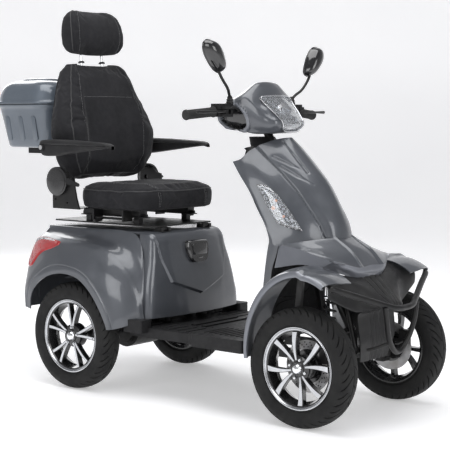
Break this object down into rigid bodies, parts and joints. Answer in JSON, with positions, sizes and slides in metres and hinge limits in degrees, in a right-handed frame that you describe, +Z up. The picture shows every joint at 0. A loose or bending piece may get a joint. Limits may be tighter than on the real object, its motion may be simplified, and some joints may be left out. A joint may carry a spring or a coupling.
{
  "type": "mobility scooter",
  "caption": "Seated electric mobility scooter with sprung axles, enclosed body, captain's seat, handlebar steering and a lidded rear box.",
  "frame": {"origin": "on the floor below the middle of the whole scooter", "axes": "+X forwards, +Y to the rider's left, +Z up"},
  "size_m": [1.9754, 0.7826, 1.5102],
  "materials": {
    "body_paint": "metallic gloss",
    "box_paint": "gloss",
    "black_plastic": "fine grained",
    "gloss_black": "gloss",
    "frame_black": "satin powder coat",
    "seat_cloth": "woven vinyl-backed cloth",
    "tyre": "matt",
    "polished_alloy": "polished faces, black sides",
    "steel": "satin",
    "bare_aluminium": "satin",
    "spring_black": "satin",
    "grip_rubber": "matt",
    "red_lens": "clear gloss",
    "clear_lens": "clear",
    "amber_plastic": "gloss",
    "battery_case": "matt"
  },
  "bodies": {
    "chassis": {"chassis_frame": "frame_black", "floor_deck": "black_plastic", "rear_body_shell": "body_paint", "rear_fenders": "body_paint", "tail_lamps": "red_lens", "plate_hinges": "frame_black", "charge_port": "gloss_black", "battery_pack": "battery_case", "motor_controller": "bare_aluminium", "front_shield": "body_paint", "indicator_lamps": "clear_lens", "leg_shield": "black_plastic", "bonnet": "body_paint", "front_fenders": "body_paint", "nose_grille": "black_plastic", "front_apron": "black_plastic", "bumper_bar": "frame_black", "front_shock_tubes": "steel", "front_springs": "spring_black", "rear_springs": "spring_black"},
    "port_flap": {"port_flap": "gloss_black"},
    "front_suspension": {"front_axle": "frame_black"},
    "steer_right": {"knuckle_right": "steel"},
    "steer_left": {"knuckle_left": "steel"},
    "steering_link": {"tie_rod": "steel"},
    "wheel_front_right": {"tyre_front_right": "tyre", "rim_front_right": "polished_alloy", "brake_disc_right": "steel"},
    "wheel_front_left": {"tyre_front_left": "tyre", "rim_front_left": "polished_alloy", "brake_disc_left": "steel"},
    "rear_suspension": {"rear_axle": "frame_black"},
    "wheel_rear_right": {"tyre_rear_right": "tyre", "rim_rear_right": "polished_alloy"},
    "wheel_rear_left": {"tyre_rear_left": "tyre", "rim_rear_left": "polished_alloy"},
    "handlebar": {"steering_column": "frame_black", "headlamp_pod": "body_paint", "headlamp_lens": "clear_lens", "grip_left": "grip_rubber", "switch_pods": "black_plastic"},
    "throttle": {"throttle_grip": "grip_rubber"},
    "lever_right": {"brake_lever_right": "bare_aluminium"},
    "lever_left": {"brake_lever_left": "bare_aluminium"},
    "horn": {"horn_button": "amber_plastic"},
    "mirror_arm_right": {"mirror_right": "gloss_black"},
    "mirror_arm_left": {"mirror_left": "gloss_black"},
    "seat_platform": {"seat_plate": "frame_black"},
    "seat": {"seat_frame": "frame_black", "seat_cushion": "seat_cloth"},
    "slide_release": {"slide_lever": "frame_black"},
    "recline_release": {"recline_lever": "black_plastic"},
    "backrest_assembly": {"backrest": "seat_cloth", "box_carrier": "frame_black", "top_box": "box_paint"},
    "arm_right": {"armrest_right": "black_plastic"},
    "arm_left": {"armrest_left": "black_plastic"},
    "head": {"headrest": "seat_cloth"},
    "lid": {"box_lid": "box_paint"}
  },
  "joints": [
    {"name": "steering", "type": "hinge", "parent": "chassis", "child": "handlebar", "pos_m": [0.3275, 0, 1.09], "axis": [-0.4756, 0, 0.8796], "range_deg": [-36, 36]},
    {"name": "front_spring_travel", "type": "slide", "parent": "chassis", "child": "front_suspension", "axis": [0, 0, 1], "range_m": [-0.02, 0.025], "stiffness_N_per_m": 40000, "springref_m": -0.0135, "deforming": ["front_springs"]},
    {"name": "kingpin_right", "type": "hinge", "parent": "front_suspension", "child": "steer_right", "pos_m": [0.7535, -0.232, 0.21], "axis": [0, 0, 1], "range_deg": [-25.5, 25.5]},
    {"name": "kingpin_left", "type": "hinge", "parent": "front_suspension", "child": "steer_left", "pos_m": [0.7535, 0.232, 0.21], "axis": [0, 0, 1], "range_deg": [-25.5, 25.5]},
    {"name": "tie_rod_shift", "type": "slide", "parent": "front_suspension", "child": "steering_link", "axis": [0, 1, 0], "range_m": [-0.038, 0.038]},
    {"name": "wheel_front_right_spin", "type": "hinge", "parent": "steer_right", "child": "wheel_front_right", "pos_m": [0.7535, -0.296, 0.21], "axis": [0, 1, 0], "continuous": true},
    {"name": "wheel_front_left_spin", "type": "hinge", "parent": "steer_left", "child": "wheel_front_left", "pos_m": [0.7535, 0.296, 0.21], "axis": [0, 1, 0], "continuous": true},
    {"name": "rear_spring_travel", "type": "slide", "parent": "chassis", "child": "rear_suspension", "axis": [0, 0, 1], "range_m": [-0.02, 0.025], "stiffness_N_per_m": 60000, "springref_m": -0.018, "deforming": ["rear_springs"]},
    {"name": "wheel_rear_right_spin", "type": "hinge", "parent": "rear_suspension", "child": "wheel_rear_right", "pos_m": [-0.3275, -0.3255, 0.21], "axis": [0, 1, 0], "continuous": true},
    {"name": "wheel_rear_left_spin", "type": "hinge", "parent": "rear_suspension", "child": "wheel_rear_left", "pos_m": [-0.3275, 0.3255, 0.21], "axis": [0, 1, 0], "continuous": true},
    {"name": "throttle_twist", "type": "hinge", "parent": "handlebar", "child": "throttle", "pos_m": [0.3275, -0.215, 1.09], "axis": [-0.1563, -0.9839, -0.0868], "range_deg": [0, 60], "stiffness_Nm_per_rad": 0.4},
    {"name": "brake_lever_right_pull", "type": "hinge", "parent": "handlebar", "child": "lever_right", "pos_m": [0.3545, -0.226, 1.086], "axis": [0, 0, -1], "range_deg": [0, 10], "stiffness_Nm_per_rad": 4},
    {"name": "brake_lever_left_pull", "type": "hinge", "parent": "handlebar", "child": "lever_left", "pos_m": [0.3545, 0.226, 1.086], "axis": [0, 0, 1], "range_deg": [0, 10], "stiffness_Nm_per_rad": 4},
    {"name": "horn_press", "type": "slide", "parent": "handlebar", "child": "horn", "axis": [1, 0, 0], "range_m": [0, 0.0025], "stiffness_N_per_m": 800},
    {"name": "mirror_right_swing", "type": "hinge", "parent": "handlebar", "child": "mirror_arm_right", "pos_m": [0.3425, -0.19, 1.12], "axis": [0, 0, 1], "range_deg": [-25, 25]},
    {"name": "mirror_left_swing", "type": "hinge", "parent": "handlebar", "child": "mirror_arm_left", "pos_m": [0.3425, 0.19, 1.12], "axis": [0, 0, 1], "range_deg": [-25, 25]},
    {"name": "port_flap_open", "type": "hinge", "parent": "chassis", "child": "port_flap", "pos_m": [0.0265, 0, 0.572], "axis": [0, -1, 0], "range_deg": [0, 90]},
    {"name": "seat_tip", "type": "hinge", "parent": "chassis", "child": "seat_platform", "pos_m": [-0.0415, 0, 0.6315], "axis": [0, 1, 0], "range_deg": [0, 35]},
    {"name": "seat_slide", "type": "slide", "parent": "seat_platform", "child": "seat", "axis": [1, 0, 0], "range_m": [-0.05, 0.05]},
    {"name": "slide_lever_lift", "type": "hinge", "parent": "seat", "child": "slide_release", "pos_m": [-0.2625, -0.2, 0.668], "axis": [-1, 0, 0], "range_deg": [0, 15], "stiffness_Nm_per_rad": 1},
    {"name": "recline", "type": "hinge", "parent": "seat", "child": "backrest_assembly", "pos_m": [-0.4875, 0, 0.81], "axis": [0, -1, 0], "range_deg": [-12, 30]},
    {"name": "recline_lever_lift", "type": "hinge", "parent": "seat", "child": "recline_release", "pos_m": [-0.4135, -0.276, 0.812], "axis": [0, -1, 0], "range_deg": [0, 25], "stiffness_Nm_per_rad": 0.8},
    {"name": "armrest_right_lift", "type": "hinge", "parent": "backrest_assembly", "child": "arm_right", "pos_m": [-0.53396, -0.285, 0.94589], "axis": [0, -1, 0], "range_deg": [0, 80]},
    {"name": "armrest_left_lift", "type": "hinge", "parent": "backrest_assembly", "child": "arm_left", "pos_m": [-0.53396, 0.285, 0.94589], "axis": [0, -1, 0], "range_deg": [0, 80]},
    {"name": "headrest_height", "type": "slide", "parent": "backrest_assembly", "child": "head", "axis": [-0.1045, 0, 0.9945], "range_m": [0, 0.06]},
    {"name": "box_lid_open", "type": "hinge", "parent": "backrest_assembly", "child": "lid", "pos_m": [-0.6295, 0, 1.122], "axis": [0, 1, 0], "range_deg": [0, 38]}
  ],
  "couplings": [
    {"joint": "kingpin_right", "follows": "steering", "ratio": 0.7},
    {"joint": "kingpin_left", "follows": "steering", "ratio": 0.7},
    {"joint": "tie_rod_shift", "follows": "steering", "m_per_rad": -0.0595}
  ]
}
